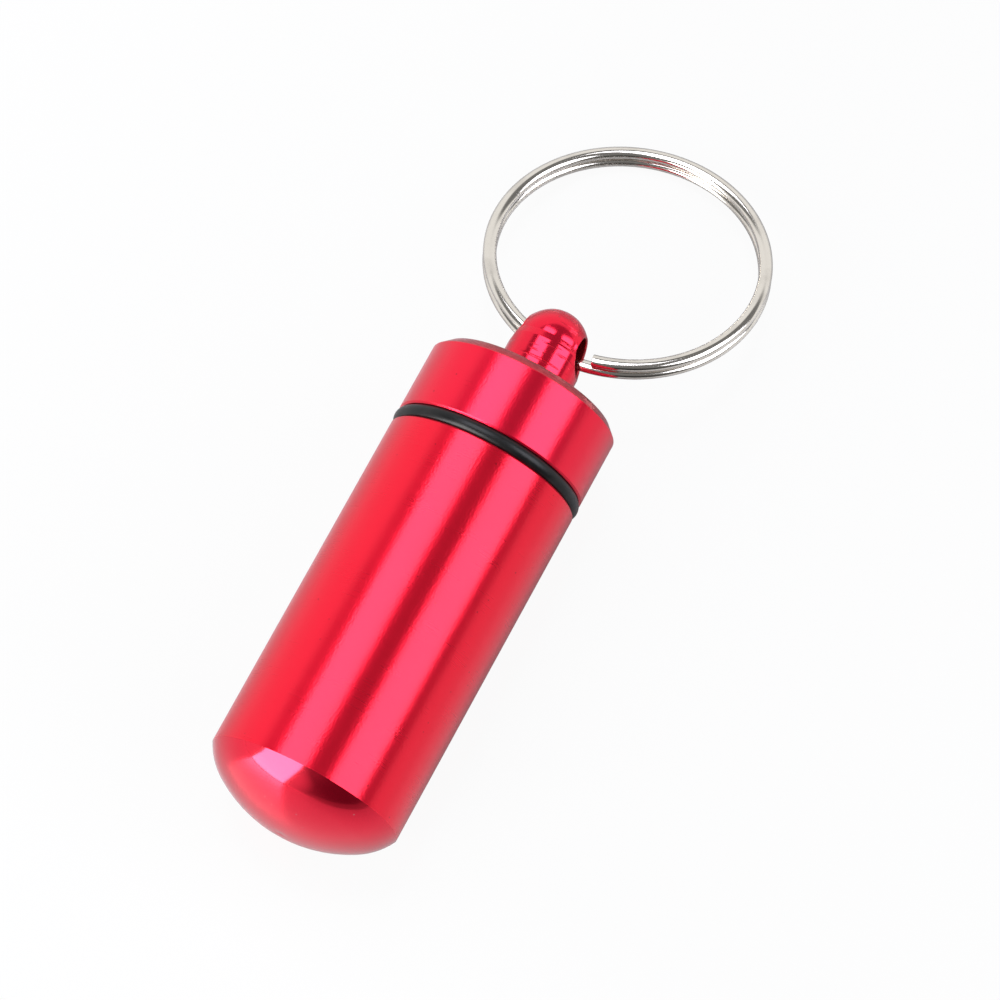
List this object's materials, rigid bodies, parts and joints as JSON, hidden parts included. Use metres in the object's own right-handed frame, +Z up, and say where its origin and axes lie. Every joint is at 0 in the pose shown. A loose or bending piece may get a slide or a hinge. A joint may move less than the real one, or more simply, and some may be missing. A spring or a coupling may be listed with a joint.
{
  "type": "pill fob keychain",
  "caption": "Red anodised aluminium screw-top pill vial with a domed end, black O-ring seal and a cross-drilled neck on a split key ring.",
  "frame": {"origin": "on the table, under the middle of the box of the whole fob lying on its side, ring included", "axes": "+X along the fob from its dome to its ring, +Z up from the table"},
  "size_m": [0.0698, 0.0244, 0.017],
  "materials": {
    "red_anodised": "fine-turned and red anodised, satin side and brighter dome",
    "black_rubber": "moulded matt black",
    "plated_steel": "bright nickel plate"
  },
  "bodies": {
    "vial": {"vial_body": "red_anodised"},
    "seal": {"o_ring_seal": "black_rubber"},
    "cap": {"screw_cap": "red_anodised"},
    "ring": {"split_ring": "plated_steel"}
  },
  "joints": [
    {"name": "cap_lift", "type": "slide", "parent": "vial", "child": "seal", "axis": [1, 0, 0], "range_m": [0, 0.0065]},
    {"name": "cap_turn", "type": "hinge", "parent": "seal", "child": "cap", "pos_m": [0.00126, 0.00165, 0.0085], "axis": [1, 0, 0], "range_deg": [0, 2340]},
    {"name": "ring_swing", "type": "hinge", "parent": "cap", "child": "ring", "pos_m": [0.01236, 0.00165, 0.0085], "axis": [0, -0.9932, 0.1167], "range_deg": [-124, 160]}
  ],
  "couplings": [
    {"joint": "cap_lift", "follows": "cap_turn", "m_per_rad": 0.00015915}
  ]
}
